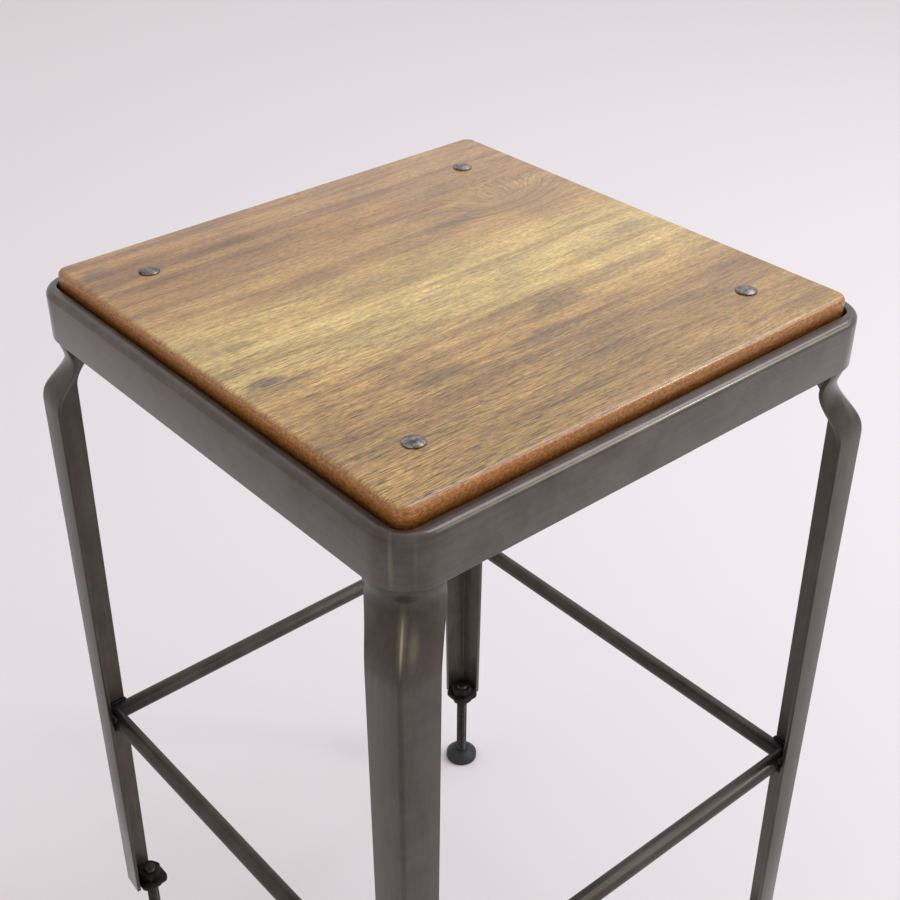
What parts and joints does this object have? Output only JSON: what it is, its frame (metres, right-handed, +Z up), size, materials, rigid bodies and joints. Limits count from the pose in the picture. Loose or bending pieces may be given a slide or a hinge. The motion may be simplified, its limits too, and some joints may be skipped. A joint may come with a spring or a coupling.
{
  "type": "bar stool with footrest",
  "caption": "Square backless bar stool: edge-glued timber seat bolted into a pressed steel pan, folded angle legs with a knee, round-bar footrest ring and screw-out levelling feet.",
  "frame": {"origin": "on the floor, under the middle of the square seat", "axes": "+Z up, +X and +Y along the seat's sides, with the timber's grain along X; -Y is the front"},
  "size_m": [0.3888, 0.3888, 0.6622],
  "materials": {
    "seat_timber": "satin lacquer over worn, open-grained timber",
    "gunmetal": "clear lacquer over rubbed dark steel",
    "dark_steel": "dull dark steel as welded",
    "bolt_steel": "blackened steel, rubbed on top",
    "zinc_steel": "black-passivated zinc plate",
    "pad_plastic": "moulded black nylon"
  },
  "bodies": {
    "frame": {"seat_stave_1": "seat_timber", "seat_stave_2": "seat_timber", "seat_stave_3": "seat_timber", "seat_stave_4": "seat_timber", "seat_pan": "gunmetal", "seat_bolts": "bolt_steel", "seat_washers": "zinc_steel", "seat_nuts": "zinc_steel", "leg_front_left": "gunmetal", "leg_front_right": "gunmetal", "leg_back_right": "gunmetal", "leg_back_left": "gunmetal", "rail_front": "gunmetal", "rail_right": "gunmetal", "rail_back": "gunmetal", "rail_left": "gunmetal", "foot_plate_front_left": "dark_steel", "foot_plate_front_right": "dark_steel", "foot_plate_back_right": "dark_steel", "foot_plate_back_left": "dark_steel", "weld_nuts": "dark_steel"},
    "foot_front_left": {"stem_front_left": "zinc_steel", "lock_nut_front_left": "zinc_steel", "pad_front_left": "pad_plastic"},
    "foot_front_right": {"stem_front_right": "zinc_steel", "lock_nut_front_right": "zinc_steel", "pad_front_right": "pad_plastic"},
    "foot_back_right": {"stem_back_right": "zinc_steel", "lock_nut_back_right": "zinc_steel", "pad_back_right": "pad_plastic"},
    "foot_back_left": {"stem_back_left": "zinc_steel", "lock_nut_back_left": "zinc_steel", "pad_back_left": "pad_plastic"}
  },
  "joints": [
    {"name": "level_front_left", "type": "slide", "parent": "frame", "child": "foot_front_left", "axis": [0, 0, -1], "range_m": [0, 0.012]},
    {"name": "level_front_right", "type": "slide", "parent": "frame", "child": "foot_front_right", "axis": [0, 0, -1], "range_m": [0, 0.012]},
    {"name": "level_back_right", "type": "slide", "parent": "frame", "child": "foot_back_right", "axis": [0, 0, -1], "range_m": [0, 0.012]},
    {"name": "level_back_left", "type": "slide", "parent": "frame", "child": "foot_back_left", "axis": [0, 0, -1], "range_m": [0, 0.012]}
  ]
}
